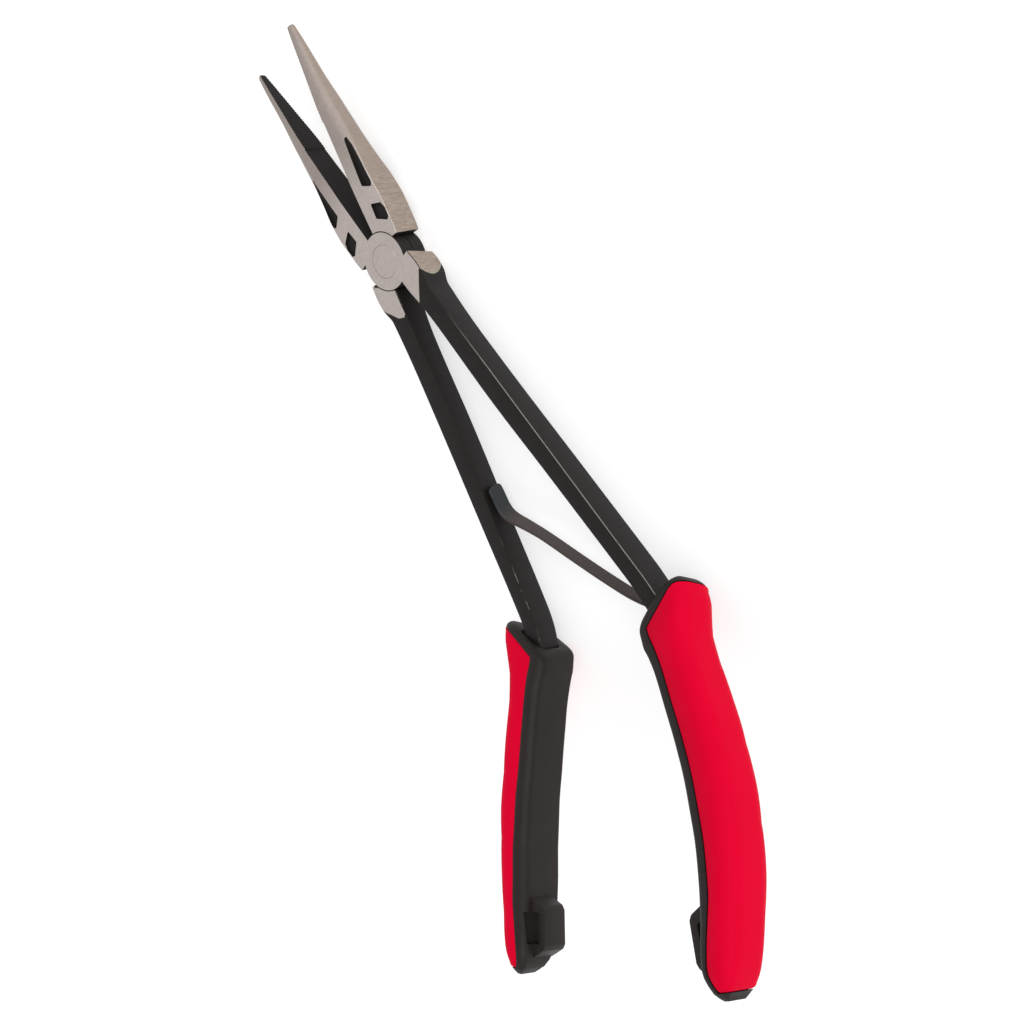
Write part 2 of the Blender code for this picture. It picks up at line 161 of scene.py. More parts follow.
# The rims slant: distance along per mm of x inside SLANT_FROM_X, and its growth with depth
SLANT, SLANT_FROM_X, SLANT_WIDTH = {"right": 0.68, "left": 0.94}, -19.5, 14.4
SLANT_TWIST, SLANT_DEPTH = 0.015, 7.5
GRIP_SHIFT = {"right": 0.5, "left": -1.8}  # along the axis
COVER_START, COVER_END = 13.8, 96.0
COVER_THICKNESS, COVER_SEAM = 1.6, 0.14
# How far the cover stays outside the inner face, along most of the grip and at its end
COVER_INNER_EDGE, COVER_END_EDGE, COVER_NARROWS = 4.3, 2.6, (78.0, 92.0)
INNER_FRONT_RADIUS, INNER_BACK_RADIUS, OUTER_FRONT_RADIUS = 3.2, 1.4, 4.6
# Radius of the outer back corner against distance along the grip
OUTER_BACK_RADII = [(17.0, 7.3), (28.0, 5.0), (86.0, 5.0), (94.0, 6.2)]
SMALLEST_RADIUS, CORNER_ROOM = 0.1, 0.6
ARC_STEPS = 9
PADS, PAD_LENGTH, PAD_HEIGHT = (26.5, 82.0), 18.5, 0.3  # shallow pads along the outer side
# Tether loop and its slot: distance along the grip, and x
TETHER_OUTLINE = [
    (77.6, -8.6),
    (80.4, -2.3),
    (81.6, -1.4),
    (90.2, -1.1),
    (91.4, -1.8),
    (94.2, -6.8),
]
TETHER_SLOT = [(82.2, -8.2), (82.2, -3.6), (90.0, -3.4), (90.0, -7.4)]
TETHER_HALF_WIDTH, TETHER_CENTRE = 4.0, 2.2
TETHER_CORNER, SLOT_CORNER = 0.7, 0.6
SLOT_REACH = (1.0, 2.5)  # how far the slot's cutter goes beyond the loop's back and front
COVER_ROUNDING = 0.35  # of the cover's edges and ends
CORE_BEVEL = 0.55
TANG_START, TANG_CLEARANCE = -112.0, 0.3
MOUTH_END, MOUTH_CLEARANCE, MOUTH_CHAMFER = -133.0, 1.1, 0.9
SPRING_NOTCH = [(-2.0, -120.0), (-7.4, -120.0), (-7.4, -131.6), (-4.4, -131.6), (-2.0, -129.4)]
NOTCH_ROOM = 0.5  # beside the leaf

LEAF_PATH = [
    (-5.55, -130.6),
    (-5.40, -127.6),
    (-4.00, -125.4),
    (-1.20, -122.4),
    (1.80, -118.2),
    (6.20, -110.2),
    (10.60, -101.5),
    (15.30, -91.9),
    (19.00, -85.2),
    (21.20, -81.6),
    (22.30, -78.9),
    (22.20, -76.0),
    (21.30, -72.6),
    (20.60, -69.4),
]
LEAF_THICKNESS, LEAF_HALF_WIDTH, LEAF_CENTRE_Z = 0.9, 3.0, 0.4
LEAF_NARROWS, LEAF_NARROWER = (-78.0, -92.0), 1.2  # the front edge steps in between these y
LEAF_EDGE = 0.25  # rounding of the strip's edges
LEAF_STEPS = 6  # how often the path is read between two of its points
# Rounding of the strip's ends: over this length, by this much, and how far it starts at the root
LEAF_END_LENGTH, LEAF_END_TUCK, LEAF_ROOT_START = 1.6, 1.4, 0.9

RIVET_SINK, RIVET_CHAMFER = 0.01, 0.06
SPRING_RIVET, SPRING_RIVET_SEGMENTS = (-128.9, 2.0), 32  # y and z
SPRING_RIVET_PROFILE = [  # radius and x, from the domed head through the bar
    (0.5, -4.95),
    (0.85, -5.0),
    (1.08, -5.15),
    (1.1, -5.4),
    (1.1, -9.7),
    (0.8, -9.95),
]

# Camera: its own axes, its place from the pivot in millimetres, and its optics
CAMERA_RIGHT, CAMERA_UP = (0.628, -0.501, -0.596), (0.347, 0.865, -0.363)
CAMERA_FROM_PIVOT = (163.1, -76.1, 178.5)
SENSOR_WIDTH, LENS, CLIP_RANGE = 36.0, 28.77, (0.01, 100.0)
FLOOR_RADIUS, FLOOR_Z = 40.0, -0.0003  # metres
WORLD_STRENGTH, SUN_TOWARDS, SUN_STRENGTH, SUN_ANGLE = 0.78, (0.75, 0.15, 0.65), 1.25, 50

# The third slot holds worn bright metal on an edge, which is also a painted edge highlight.
FORGED, STEEL, WORN_AND_HIGHLIT, DARK = range(4)  # material slots of the forged halves


# --- Node materials ----------------------------------------------------------------------------


class Shader:
    """A small helper that builds a node material on one Principled shader."""

    def __init__(self, name, half=None, **sockets):
        self.turn = half.turn if half else 0.0
        self.origin = PIVOT if half else Vector()
        self.material = bpy.data.materials.new(name)
        self.material.use_nodes = True
        self.tree = self.material.node_tree
        self.principled = self.tree.nodes["Principled BSDF"]
        for key, value in sockets.items():
            self.principled.inputs[key.replace("_", " ")].default_value = value

    def node(self, kind, inputs=None, **properties):
        made = self.tree.nodes.new(kind)
        for key, value in properties.items():
            setattr(made, key, value)
        for key, value in (inputs or {}).items():
            self.feed(made.inputs[key], value)
        return made

    def feed(self, socket, value):
        if isinstance(value, bpy.types.NodeSocket):
            self.tree.links.new(value, socket)
        else:
            socket.default_value = value

    def position(self, scale=(1, 1, 1), rotation=(0, 0, 0)):
        """Coordinates in millimetres, in the plan of the shader's half if it has one."""
        coordinates = self.node("ShaderNodeTexCoord").outputs["Object"]
        inputs = {"Vector": coordinates, "Location": self.origin, "Rotation": (0, 0, self.turn)}
        inputs["Scale"] = (MM, MM, MM)
        plan = self.node("ShaderNodeMapping", inputs, vector_type="TEXTURE").outputs["Vector"]
        inputs = {"Vector": plan, "Rotation": rotation, "Scale": scale}
        return self.node("ShaderNodeMapping", inputs).outputs["Vector"]

    def noise(self, vector, scale, detail=4.0, roughness=0.6):
        inputs = {"Vector": vector, "Scale": scale, "Detail": detail, "Roughness": roughness}
        return self.node("ShaderNodeTexNoise", inputs).outputs["Fac"]

    def math(self, operation, a, b=0.0):
        made = self.node("ShaderNodeMath", operation=operation)
        for socket, value in zip(made.inputs, (a, b)):
            self.feed(socket, value)
        return made.outputs[0]

    def ramp(self, value, low, high, to_low=0.0, to_high=1.0):
        names = ("Value", "From Min", "From Max", "To Min", "To Max")
        inputs = dict(zip(names, (value, low, high, to_low, to_high)))
        return self.node("ShaderNodeMapRange", inputs).outputs["Result"]

    def mix(self, factor, a, b):
        made = self.node("ShaderNodeMix", data_type="RGBA")
        self.feed(made.inputs[0], factor)
        self.feed(made.inputs[6], a)
        self.feed(made.inputs[7], b)
        return made.outputs[2]

    def mix_value(self, factor, a, b):
        made = self.node("ShaderNodeMix", data_type="FLOAT")
        for index, value in zip((0, 2, 3), (factor, a, b)):
            self.feed(made.inputs[index], value)
        return made.outputs[0]

    def bump(self, height, strength, distance):
        inputs = {"Height": height, "Strength": strength, "Distance": distance * MM}
        return self.node("ShaderNodeBump", inputs).outputs["Normal"]

    def set(self, **links):
        for key, value in links.items():
            self.feed(self.principled.inputs[key.replace("_", " ")], value)
        return self.material


def colour(r, g, b):
    return (r, g, b, 1.0)


def steel_layers(s):
    """Ground steel: (colour, roughness, height). The outer sides are ground across, and their
    colour is painted darker and browner as shade the more they turn sideways.
    """
    normal = s.node("ShaderNodeTexCoord").outputs["Normal"]
    nx = s.node("ShaderNodeSeparateXYZ", {0: normal}).outputs[0]
    # side: how far a face turns sideways. It sets the cross-grinding lines and also the painted
    # shade, a darker and browner colour.
    side = s.ramp(s.math("ABSOLUTE", nx), 0.55, 0.93)
    y = s.node("ShaderNodeSeparateXYZ", {0: s.position()}).outputs[1]
    near_joint = s.ramp(y, 34.0, 18.0)
    fine = s.noise(s.position((0.6, 6.0, 2.0), (0, 0, 0.45)), 1.0, 5.0, 0.7)  # grinding lines
    across = s.noise(s.position((0.5, 5.0, 0.35), (0.12, 0, 0)), 1.0, 6.0, 0.75)
    cloudy = s.noise(s.position(), 0.22, 3.0)
    grain = s.noise(s.position(), 3.0, 6.0, 0.8)
    face = s.mix(cloudy, colour(0.58, 0.515, 0.49), colour(0.70, 0.635, 0.61))
    face = s.mix(s.ramp(fine, 0.35, 0.7, 0.0, 0.7), face, colour(0.44, 0.38, 0.355))
    # The sideways faces' colour is made darker and browner as painted shade. The lines laid over
    # it are real cross-grinding.
    shaded_flank = s.mix(cloudy, colour(0.37, 0.30, 0.255), colour(0.47, 0.395, 0.345))
    lined = s.mix(s.ramp(across, 0.42, 0.62), shaded_flank, colour(0.27, 0.205, 0.165))
    shaded_flank = s.mix(s.ramp(near_joint, 0.0, 1.0, 0.25, 1.0), shaded_flank, lined)
    tip = s.mix(0.6, face, colour(0.36, 0.305, 0.275))
    tone = s.mix(side, s.mix(near_joint, tip, face), shaded_flank)
    speck = s.ramp(grain, 0.40, 0.70, 0.0, 0.75)
    speckled = s.math("MULTIPLY", speck, s.ramp(near_joint, 0.0, 1.0, 0.95, 0.2))
    tone = s.mix(speckled, tone, colour(0.36, 0.31, 0.28))
    brushed = s.mix_value(side, fine, across)
    rough = s.ramp(brushed, 0.3, 0.7, 0.40, 0.55)
    rough = s.math("ADD", rough, s.ramp(near_joint, 0.0, 1.0, 0.2, 0.0))
    height = s.math("ADD", brushed, s.math("MULTIPLY", grain, 0.6))
    return tone, rough, height


def oxide_layers(s):
    """Black oxide over forged steel: (colour, roughness, height), a little mottled."""
    cloudy = s.noise(s.position(), 0.35, 4.0)
    grain = s.noise(s.position(), 2.6, 6.0, 0.7)
    tone = s.mix(cloudy, colour(0.008, 0.0068, 0.0064), colour(0.017, 0.0145, 0.0135))
    speckled = s.mix(s.ramp(grain, 0.62, 0.8, 0.0, 0.6), tone, colour(0.036, 0.031, 0.027))
    rough = s.ramp(grain, 0.3, 0.7, 0.42, 0.62)
    return speckled, rough, grain


def ground_steel(half):
    s = Shader(f"ground_steel_{half.body}", half, Metallic=1.0)
    base, rough, height = steel_layers(s)
    return s.set(Base_Color=base, Roughness=rough, Normal=s.bump(height, 0.12, 0.05))


def half_planes(s, outline, sign):
    """Distance inside a convex outline in plan, in millimetres, negative outside."""
    inside = None
    count = len(outline)
    centre = [sum(p[i] for p in outline) / count for i in (0, 1)]
    vector = s.position()
    for i in range(count):
        (ax, ay), (bx, by) = outline[i], outline[(i + 1) % count]
        nx, ny = ay - by, bx - ax
        length = math.hypot(nx, ny)
        nx, ny = nx / length, ny / length
        if (centre[0] - ax) * nx + (centre[1] - ay) * ny < 0:
            nx, ny = -nx, -ny
        dot = s.node(
            "ShaderNodeVectorMath", {0: vector, 1: (sign * nx, ny, 0)}, operation="DOT_PRODUCT"
        )
        distance = s.math("SUBTRACT", dot.outputs["Value"], ax * nx + ay * ny)
        inside = distance if inside is None else s.math("MINIMUM", inside, distance)
    return inside


def forged(half, outline):
    """Black oxide with a ground bare patch at the root: on its front, back and outer side, with a
    painted highlight line along the patch's edge.
    """
    sign = -1 if half.mirror else 1
    s = Shader(f"forged_{half.body}", half, Specular_IOR_Level=0.25)
    steel, steel_rough, steel_height = steel_layers(s)
    oxide, oxide_rough, oxide_height = oxide_layers(s)
    x, y, z = s.node("ShaderNodeSeparateXYZ", {0: s.position()}).outputs
    wander = s.math("MULTIPLY", s.math("SUBTRACT", s.noise(s.position(), 0.9), 0.5), 0.35)
    sinking = s.math("MINIMUM", s.math("ADD", y, 11.0), 0.0)  # the bar thins below y = -11
    face_z = s.math("ADD", s.math("MULTIPLY", sinking, 0.1), 4.4)
    depth = s.math("SUBTRACT", s.math("ABSOLUTE", z), face_z)
    flat = s.math("MINIMUM", half_planes(s, outline, sign), s.math("MULTIPLY", depth, 6.0))
    dip = s.math("MULTIPLY", s.math("MULTIPLY", z, z), 0.11)
    side_y = s.math("SUBTRACT", s.math("ADD", y, 12.3), dip)
    outer = s.math("SUBTRACT", s.math("MULTIPLY", x, -sign), 8.2)
    side = s.math("MINIMUM", side_y, outer)
    ground = s.math("ADD", s.math("MAXIMUM", flat, side), wander)
    bare = s.ramp(ground, -0.03, 0.03)
    # rim: a painted highlight, a thin light line along the patch's edge
    rim = s.math("MULTIPLY", s.ramp(ground, -0.22, -0.02), s.ramp(ground, 0.12, 0.02))
    base = s.mix(bare, oxide, steel)
    base = s.mix(s.math("MULTIPLY", rim, 0.55), base, colour(0.62, 0.58, 0.46))
    height = s.mix_value(bare, oxide_height, s.math("MULTIPLY", steel_height, 0.4))
    return s.set(
        Base_Color=base,
        Metallic=s.ramp(bare, 0.0, 1.0, 0.2, 1.0),
        Roughness=s.mix_value(bare, oxide_rough, steel_rough),
        Normal=s.bump(height, 0.25, 0.05),
    )


def worn_and_highlit_edge(half):
    """Black oxide worn through to bright metal here and there along one edge; the bright metal is
    also a painted highlight along that edge.
    """
    s = Shader(f"worn_and_highlit_edge_{half.body}", half, Metallic=0.8)
    oxide, rough, height = oxide_layers(s)
    along = s.noise(s.position((1, 0.5, 1)), 0.22, 5.0, 0.7)
    y = s.node("ShaderNodeSeparateXYZ", {0: s.position()}).outputs[1]
    if half.mirror:
        rubbed_and_highlit = s.math("MULTIPLY", s.ramp(along, 0.2, 0.45), s.ramp(y, -24.0, -42.0, 0.0, 0.6))
    else:
        rubbed_and_highlit = s.math("MULTIPLY", s.ramp(along, 0.5, 0.58), s.ramp(y, -84.0, -100.0, 0.0, 0.5))
    base = s.mix(rubbed_and_highlit, oxide, colour(0.30, 0.27, 0.24))
    return s.set(Base_Color=base, Roughness=rough, Normal=s.bump(height, 0.2, 0.04))


def dark_recess(half):
    s = Shader(f"dark_recess_{half.body}", half, Roughness=0.7, Specular_IOR_Level=0.2)
    grain = s.noise(s.position(), 3.0, 5.0, 0.7)
    base = s.mix(grain, colour(0.008, 0.007, 0.0066), colour(0.020, 0.017, 0.016))
    return s.set(Base_Color=base, Normal=s.bump(grain, 0.35, 0.08))


def rivet_steel(half):
    """The rivets' ground ends: the same steel as the jaws."""
    s = Shader("rivet_steel", half, Metallic=1.0)
    base, rough, height = steel_layers(s)
    return s.set(Base_Color=base, Roughness=rough, Normal=s.bump(height, 0.12, 0.05))


def spring_steel(half):
    s = Shader("spring_steel", half, Metallic=0.75)
    lines = s.noise(s.position((6.0, 6.0, 0.6)), 0.6, 5.0, 0.7)
    grain = s.noise(s.position(), 2.0, 5.0)
    y = s.node("ShaderNodeSeparateXYZ", {0: s.position()}).outputs[1]
    blued = s.ramp(y, -82.0, -76.0)
    tone = s.mix(lines, colour(0.050, 0.038, 0.035), colour(0.095, 0.078, 0.073))
    blue = s.mix(grain, colour(0.022, 0.027, 0.030), colour(0.048, 0.052, 0.053))
    base = s.mix(blued, tone, blue)
    rough = s.ramp(grain, 0.3, 0.7, 0.38, 0.55)
    return s.set(Base_Color=base, Roughness=rough, Normal=s.bump(lines, 0.12, 0.04))


def grip_core():
    """Matte black moulded plastic with a fine spark-eroded grain."""
    s = Shader("grip_core", Specular_IOR_Level=0.2)
    cells = s.node("ShaderNodeTexVoronoi", {"Vector": s.position(), "Scale": 3.2})
    grain = cells.outputs["Distance"]
    cloudy = s.noise(s.position(), 0.12, 3.0)
    base = s.mix(cloudy, colour(0.012, 0.0088, 0.0080), colour(0.0195, 0.0150, 0.0138))
    rough = s.ramp(grain, 0.0, 0.6, 0.62, 0.48)
    return s.set(Base_Color=base, Roughness=rough, Normal=s.bump(grain, 0.18, 0.06))


def grip_cover():
    """Soft red elastomer: satin, with a very fine texture and slightly deeper tone in places."""
    s = Shader("grip_cover", Specular_IOR_Level=0.03)
    grain = s.noise(s.position(), 4.0, 4.0, 0.7)
    cloudy = s.noise(s.position(), 0.06, 3.0)
    base = s.mix(cloudy, colour(0.61, 0.0, 0.021), colour(0.69, 0.0, 0.028))
    rough = s.ramp(grain, 0.3, 0.7, 0.50, 0.62)
    return s.set(Base_Color=base, Roughness=rough, Normal=s.bump(grain, 0.15, 0.05))


def floor_material():
    s = Shader("floor", Roughness=0.9, Specular_IOR_Level=0.1)
    cloudy = s.noise(s.position(), 0.01, 2.0)
    base = s.mix(cloudy, colour(0.55, 0.55, 0.55), colour(0.56, 0.56, 0.56))
    s.principled.inputs["Emission Strength"].default_value = 1.0
    return s.set(Base_Color=base, Emission_Color=base)


# --- Mesh helpers ------------------------------------------------------------------------------


def curve_rows(rows, positions):
    """Rows read at new values of their first column, with monotone cubic curves."""
    rows = np.array(rows, float)
    if rows[0, 0] > rows[-1, 0]:
        rows = rows[::-1]
    x = rows[:, 0]
    step = np.diff(x)
    slope = np.diff(rows, axis=0) / step[:, None]
    tangent = np.zeros_like(rows)
    tangent[0], tangent[-1] = slope[0], slope[-1]
    for i in range(1, len(x) - 1):
        a, b = slope[i - 1], slope[i]
        same = a * b > 0
        wa, wb = 2 * step[i] + step[i - 1], step[i] + 2 * step[i - 1]
        safe_a, safe_b = np.where(same, a, 1.0), np.where(same, b, 1.0)
        tangent[i] = np.where(same, (wa + wb) / (wa / safe_a + wb / safe_b), 0.0)
    result = []
    for position in positions:
        i = int(np.clip(np.searchsorted(x, position) - 1, 0, len(x) - 2))
        h = step[i]
        t = (position - x[i]) / h
        row = (
            (1 + 2 * t) * (1 - t) ** 2 * rows[i]
            + t * (1 - t) ** 2 * h * tangent[i]
            + t * t * (3 - 2 * t) * rows[i + 1]
            + t * t * (t - 1) * h * tangent[i + 1]
        )
        result.append(tuple(float(v) for v in row))
    return result


def spread(start, end, step):
    count = max(1, round(abs(end - start) / step))
    return [start + (end - start) * i / count for i in range(count + 1)]


class Half:
    """Where one half stands: mirrored or not, and turned open about the pivot."""

    def __init__(self, body, mirror):
        self.body = body
        self.mirror = mirror
        self.turn = OPEN_HALF_ANGLE if mirror else -OPEN_HALF_ANGLE
        self.matrix = Matrix.Translation(PIVOT) @ Matrix.Rotation(self.turn, 4, "Z")

    def object(self, name, bm, materials):
        """An object whose own coordinates are this half's plan, in metres."""
        scale = Matrix.Diagonal((-MM if self.mirror else MM, MM, MM, 1.0))
        bmesh.ops.transform(bm, matrix=scale, verts=bm.verts)
        bmesh.ops.remove_doubles(bm, verts=bm.verts, dist=MM * 0.001)
        bmesh.ops.recalc_face_normals(bm, faces=bm.faces)
        mesh = bpy.data.meshes.new(name)
        bm.to_mesh(mesh)
        bm.free()
        for material in materials:
            mesh.materials.append(material)
        obj = bpy.data.objects.new(name, mesh)
        bpy.context.scene.collection.objects.link(obj)
        return obj

    def loft(self, name, rings, materials, strips=0, caps=(0, 0)):
        """A closed body through rings; strips gives each side face's material slot."""
        bm = bmesh.new()
        loops = [[bm.verts.new(point) for point in ring] for ring in rings]
        count = len(loops[0])
        for first, second in zip(loops, loops[1:]):
            for i in range(count):
                j = (i + 1) % count
                face = bm.faces.new((first[i], first[j], second[j], second[i]))
                face.material_index = strips if isinstance(strips, int) else strips[i]
        for loop, slot in zip((loops[0], loops[-1]), caps):
            bm.faces.new(loop).material_index = slot
        return self.object(name, bm, materials)

    def prism(self, name, outline, low, high, materials, slot=0):
        rings = [[(x, y, z) for x, y in outline] for z in (low, high)]
        return self.loft(name, rings, materials, slot, (slot, slot))

    def place(self, obj, node):
        """Move a finished piece from the plan into the frame, in place of one CAD node."""
        obj.data.transform(self.matrix)
        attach(obj, self.body)
        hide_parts(node)
        return obj


def circle(radius, segments):
    angles = [2 * math.pi * i / segments for i in range(segments)]
    return [(radius * math.cos(angle), radius * math.sin(angle)) for angle in angles]


def rounded(outline, radius=None, steps=4):
    """The outline with its corners rounded, by one radius or by each corner's own third value."""
    result = []
    count = len(outline)
    for i in range(count):
        corner = Vector(outline[i][:2])
        size = outline[i][2] if radius is None else radius
        back = (Vector(outline[i - 1][:2]) - corner).normalized()
        ahead = (Vector(outline[(i + 1) % count][:2]) - corner).normalized()
        half = back.angle(ahead) / 2
        reach = size / math.tan(half)
        centre = corner + (back + ahead).normalized() * size / math.sin(half)
        first, last = corner + back * reach - centre, corner + ahead * reach - centre
        for k in range(steps + 1):
            arm = first.lerp(last, k / steps).normalized() * size
            result.append(tuple(centre + arm))
    return result


def combine(obj, other, operation):
    """Apply a Boolean with another object, which is then removed."""
    modifier = obj.modifiers.new("cut", "BOOLEAN")
    modifier.operation = operation
    modifier.object = other
    modifier.solver = "EXACT"
    apply_modifiers(obj)
    mesh = other.data
    bpy.data.objects.remove(other)
    bpy.data.meshes.remove(mesh)


def apply_modifiers(obj):
    graph = bpy.context.evaluated_depsgraph_get()
    mesh = bpy.data.meshes.new_from_object(obj.evaluated_get(graph))
    old = obj.data
    obj.modifiers.clear()
    obj.data = mesh
    bpy.data.meshes.remove(old)


def finish_mesh(obj, width, bevel_angle, smooth_angle, segments=2):
    """Round the sharp edges a little, and shade smooth between what stays sharp."""
    bm = bmesh.new()
    bm.from_mesh(obj.data)
    bmesh.ops.remove_doubles(bm, verts=bm.verts, dist=0.02 * MM)
    bmesh.ops.dissolve_degenerate(bm, edges=bm.edges, dist=0.02 * MM)
    bm.to_mesh(obj.data)
    bm.free()
    if width:
        modifier = obj.modifiers.new("edges", "BEVEL")
        modifier.width = width * MM
        modifier.segments = segments
        modifier.limit_method = "ANGLE"
        modifier.angle_limit = math.radians(bevel_angle)
        modifier.use_clamp_overlap = True
        modifier.miter_outer = "MITER_ARC"
        apply_modifiers(obj)
    obj.data.shade_smooth()
    obj.data.set_sharp_from_angle(angle=math.radians(smooth_angle))


# --- Forged halves -----------------------------------------------------------------------------


def jaw_section(row, inner):
    """Points round the jaw's section, a chamfered block that turns into half an ellipse."""
    _, thick, outer, side, land, roundness = row
    corners = [(inner, thick), (land, thick), (outer, side), (outer, 0.0)]
    counts = (5, 4, 4)
    block = []
    for (ax, az), (bx, bz), n in zip(corners, corners[1:], counts):
        block += [(ax + (bx - ax) * k / n, az + (bz - az) * k / n) for k in range(n)]
    block.append(corners[-1])
    points = []
    for k, (x, z) in enumerate(block):
        angle = math.pi / 2 * (1 - k / (len(block) - 1))
        round_x = inner + (outer - inner) * math.cos(angle) ** ROUND_X_POWER
        round_z = thick * math.sin(angle) ** ROUND_Z_POWER
        points.append((x + (round_x - x) * roundness, z + (round_z - z) * roundness))
    return points + [(x, -z) for x, z in points[-2::-1]]


def jaw(half, materials):
    start, end = TEETH
    teeth = spread(end, start, TOOTH_PITCH / 2)
    tip = [row[0] for row in JAW_STATIONS[:2]]
    levels = tip + teeth + spread(start - 0.3, JAW_STATIONS[-1][0], 2.2)
    rings = []
    for i, row in enumerate(curve_rows(JAW_STATIONS, levels)):
        if i < len(tip):
            inner = TIP_FACE_X
        elif i < len(tip) + len(teeth):
            inner = CREST_X + (TOOTH_DEPTH if i % 2 else 0.0)
        else:
            inner = REAR_FACE_X
        rings.append([(x, row[0], z) for x, z in jaw_section(row, inner)])
    strips = [STEEL] * (len(rings[0]) - 1) + [DARK]
    return half.loft("jaw", rings, materials, strips, (STEEL, DARK))


def bar_section(inner, outer, low, high, c):
    """A rectangle with its corners cut off by c."""
    return [
        (inner, low + c),
        (inner, high - c),
        (inner - c, high),
        (outer + c, high),
        (outer, high - c),
        (outer, low + c),
        (outer + c, low),
        (inner - c, low),
    ]


def bar_ring(row, grow=0.0, chamfer=BAR_CHAMFER, sides=(0.0, 0.0)):
    y, z, tilt, inner, outer, half_depth = row
    tilt = math.radians(tilt)
    reach = half_depth + grow
    section = bar_section(inner + grow + sides[0], outer - grow - sides[1], -reach, reach, chamfer)
    return [(x, y + d * math.sin(tilt), z + d * math.cos(tilt)) for x, d in section]


def forged_half(half, lap_side, highlit_worn_strip, materials):
    first, last = BAR_STATIONS[0][0], BAR_STATIONS[-1][0]
    rows = curve_rows(BAR_STATIONS, spread(first, -17.0, 0.9) + spread(-18.0, last, 2.5))
    strips = [FORGED] * 8
    # One chamfer strip gets worn bright metal, which is also a painted edge highlight.
    strips[highlit_worn_strip] = WORN_AND_HIGHLIT
    rings = [bar_ring(row) for row in rows]
    body = half.loft("forged_body", rings, materials, strips, (FORGED, FORGED))
    combine(body, jaw(half, materials), "UNION")
    inner_z, outer_z = lap_side * DISK_GAP / 2, lap_side * JOINT_HALF_THICKNESS
    levels = sorted((inner_z, outer_z))
    rings = [[(x, y, z) for x, y in circle(DISK_RADIUS, DISK_SEGMENTS)] for z in levels]
    caps = (STEEL, FORGED) if lap_side < 0 else (FORGED, STEEL)
    combine(body, half.loft("disk", rings, materials, DARK, caps), "UNION")
    levels = sorted((inner_z, -lap_side * CUTTER_REACH))
    outline = circle(DISK_RADIUS + DISK_GAP, DISK_SEGMENTS)
    combine(body, half.prism("lap", outline, *levels, materials, DARK), "DIFFERENCE")
    outline = circle(RIVET_RADIUS + RIVET_SEAM, RIVET_SEGMENTS)
    hole = half.prism("hole", outline, -CUTTER_REACH, CUTTER_REACH, materials, DARK)
    combine(body, hole, "DIFFERENCE")
    for outline, floor in zip(POCKETS, POCKET_FLOORS):
        for side in (1, -1):
            levels = sorted((side * floor, side * CUTTER_REACH))
            cutter = half.prism("pocket", rounded(outline), *levels, materials, DARK)
            combine(body, cutter, "DIFFERENCE")
    finish_mesh(body, FORGED_BEVEL, 24, 14)
    return half.place(body, half.body)


# --- Grips -------------------------------------------------------------------------------------


def grip_point(along, x, depth):
    sine, cosine = math.sin(GRIP_TILT), math.cos(GRIP_TILT)
    y = GRIP_START[0] - along * cosine + depth * sine
    z = GRIP_START[1] + along * sine + depth * cosine
    return (x, y, z)


def arc(centre_x, centre_d, radius, start, end):
    points = []
    for step in range(ARC_STEPS + 1):
        angle = math.radians(start + (end - start) * step / ARC_STEPS)
        points.append((centre_x + radius * math.cos(angle), centre_d + radius * math.sin(angle)))
    return points


def limited(radius, row):
    """A corner's radius, kept smaller than half the section."""
    return min(radius, (row[2] - row[3]) / 2 - CORNER_ROOM, row[4] - CORNER_ROOM)


def outer_back_radius(along):
    for (start, first), (end, last) in zip(OUTER_BACK_RADII, OUTER_BACK_RADII[1:]):
        if along < end:
            share = max(0.0, (along - start) / (end - start))
            return first + (last - first) * share
    return OUTER_BACK_RADII[-1][1]


def outer_arcs(row, inset):
    outer, depth = row[3], row[4]
    points = []
    corners = ((1, OUTER_FRONT_RADIUS, 90), (-1, outer_back_radius(row[0]), 180))
    for sign, radius, start in corners:
        radius = limited(radius, row)
        small = max(radius - inset, SMALLEST_RADIUS)
        level = sign * (depth - inset - small)
        points += arc(outer + radius, level, small, start, start + 90)
    return points


def edge_distance(row):
    """How far the cover stays outside the inner face."""
    start, end = COVER_NARROWS
    share = min(max((row[0] - start) / (end - start), 0.0), 1.0)
    return COVER_INNER_EDGE + (COVER_END_EDGE - COVER_INNER_EDGE) * share


def inner_arcs(row):
    inner, depth = row[2], row[4]
    back = limited(INNER_BACK_RADIUS, row)
    front = limited(min(INNER_FRONT_RADIUS, edge_distance(row) - 0.5), row)
    points = arc(inner - back, back - depth, back, 270, 360)
    return points + arc(inner - front, depth - front, front, 0, 90)


def place_section(side, row, section):
    along, slant, forward = row[0], row[1], row[5]
    points = []
    for x, depth in section:
        inward = max(0.0, x - SLANT_FROM_X)
        slide = SLANT[side] * (inward - SLANT_WIDTH) + SLANT_TWIST * (depth - SLANT_DEPTH) * inward
        points.append(grip_point(along + slant * slide, x, depth + forward))
    return points


def cover_edge(row):
    return max(row[2] - edge_distance(row), (row[2] + row[3]) / 2)


def core_ring(side, row, covered):
    depth = row[4]
    inset = COVER_THICKNESS + COVER_SEAM if covered else 0.0
    edge_x = cover_edge(row) + COVER_SEAM
    section = inner_arcs(row) + [(edge_x, depth), (edge_x, depth - inset)]
    section += outer_arcs(row, inset) + [(edge_x, inset - depth), (edge_x, -depth)]
    return place_section(side, row, section)


